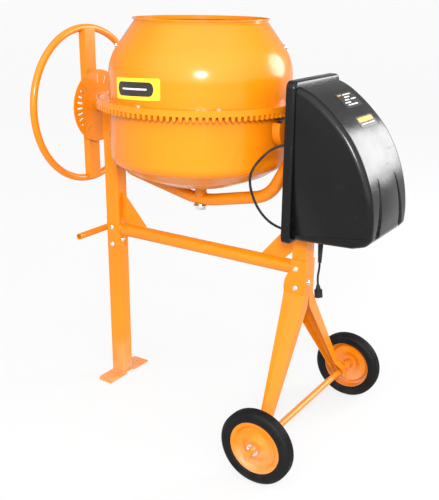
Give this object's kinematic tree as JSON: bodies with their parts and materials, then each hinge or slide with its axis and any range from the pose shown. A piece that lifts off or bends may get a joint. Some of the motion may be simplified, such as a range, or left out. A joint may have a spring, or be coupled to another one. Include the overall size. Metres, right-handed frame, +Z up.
{
  "type": "concrete mixer",
  "caption": "Electric concrete mixer: tilting drum in a tube yoke with ring gear, handwheel with locking disc, belt-drive housing, and a stand with foot and wheels.",
  "frame": {"origin": "on the floor, below the middle of the machine's bounding box", "axes": "+Z up, +X from the handwheel towards the motor housing, -Y the front, where the push handle shows and the near wheel stands"},
  "size_m": [1.158, 0.768, 1.323],
  "materials": {
    "orange_paint": "glossy powder coat",
    "zinc_steel": "bright zinc plate",
    "bright_steel": "machined steel",
    "black_housing": "satin moulded plastic",
    "black_cable": "smooth sheath",
    "nickel_pins": "nickel plate",
    "tyre_rubber": "ribbed rubber",
    "belt_rubber": "matt",
    "motor_alloy": "cast",
    "red_switch": "gloss"
  },
  "bodies": {
    "stand": {"foot_plate": "orange_paint", "left_lower_leg": "orange_paint", "left_upper_leg": "orange_paint", "left_leg_bolts": "zinc_steel", "crossbar": "orange_paint", "left_gusset": "orange_paint", "right_gusset": "orange_paint", "push_handle": "orange_paint", "locking_disc": "orange_paint", "trunnion_bearings": "orange_paint", "right_post": "orange_paint", "post_bolts": "zinc_steel", "near_wheel_leg": "orange_paint", "far_wheel_leg": "orange_paint", "axle": "orange_paint", "wheel_retainers": "zinc_steel", "housing_cover": "black_housing", "housing_back": "black_housing", "housing_screws": "zinc_steel", "motor": "motor_alloy", "motor_bracket": "zinc_steel", "drive_belt": "belt_rubber", "switch_body": "black_housing", "lead_glands": "black_cable", "harness_lead": "black_cable", "strain_relief": "black_cable", "power_cord": "black_cable", "plug": "black_cable", "plug_pins": "nickel_pins"},
    "yoke": {"yoke_tube": "orange_paint", "yoke_boss": "orange_paint", "drum_shaft": "bright_steel", "left_trunnion": "bright_steel", "right_trunnion": "orange_paint", "shaft_fasteners": "zinc_steel", "pinion_guard": "orange_paint", "release_spring": "bright_steel"},
    "handwheel": {"handwheel_rim": "orange_paint", "handwheel_spoke": "orange_paint", "handwheel_hub": "orange_paint", "lock_tooth": "orange_paint"},
    "drum": {"drum_upper": "orange_paint", "drum_lower": "orange_paint", "ring_gear": "orange_paint", "ring_gear_bolts": "zinc_steel", "drum_hub": "orange_paint", "drum_bearings": "bright_steel", "paddle_a": "orange_paint", "paddle_b": "orange_paint", "paddle_bolts": "zinc_steel"},
    "drive": {"pinion": "bright_steel", "drive_shaft": "bright_steel", "large_pulley": "motor_alloy"},
    "rotor": {"motor_shaft": "bright_steel", "motor_pulley": "bright_steel"},
    "near_wheel": {"near_wheel_tyre": "tyre_rubber", "near_wheel_disc": "orange_paint"},
    "far_wheel": {"far_wheel_tyre": "tyre_rubber", "far_wheel_disc": "orange_paint"},
    "switch": {"switch_rocker": "red_switch"}
  },
  "joints": [
    {"name": "drum_tilt", "type": "hinge", "parent": "stand", "child": "yoke", "pos_m": [0.218, 0, 1.016], "axis": [1, 0, 0], "range_deg": [-112.5, 112.5]},
    {"name": "handwheel_lock", "type": "slide", "parent": "yoke", "child": "handwheel", "axis": [1, 0, 0], "range_m": [0, 0.006], "deforming": ["release_spring"]},
    {"name": "drum_spin", "type": "hinge", "parent": "yoke", "child": "drum", "pos_m": [-0.082, 0, 1.016], "axis": [0, 0, 1], "continuous": true},
    {"name": "drive_spin", "type": "hinge", "parent": "yoke", "child": "drive", "pos_m": [0.228, 0, 1.016], "axis": [1, 0, 0], "continuous": true},
    {"name": "rotor_spin", "type": "hinge", "parent": "stand", "child": "rotor", "pos_m": [0.358, 0, 0.812], "axis": [1, 0, 0], "continuous": true},
    {"name": "near_wheel_roll", "type": "hinge", "parent": "stand", "child": "near_wheel", "pos_m": [0.347, -0.325, 0.12], "axis": [0, 1, 0], "continuous": true},
    {"name": "far_wheel_roll", "type": "hinge", "parent": "stand", "child": "far_wheel", "pos_m": [0.347, 0.325, 0.12], "axis": [0, 1, 0], "continuous": true},
    {"name": "switch_rock", "type": "hinge", "parent": "stand", "child": "switch", "pos_m": [0.41, 0.1504, 0.885], "axis": [1, 0, 0], "range_deg": [0, 8]}
  ],
  "couplings": [
    {"joint": "drive_spin", "follows": "drum_spin", "ratio": -6.875},
    {"joint": "rotor_spin", "follows": "drum_spin", "ratio": -70}
  ]
}
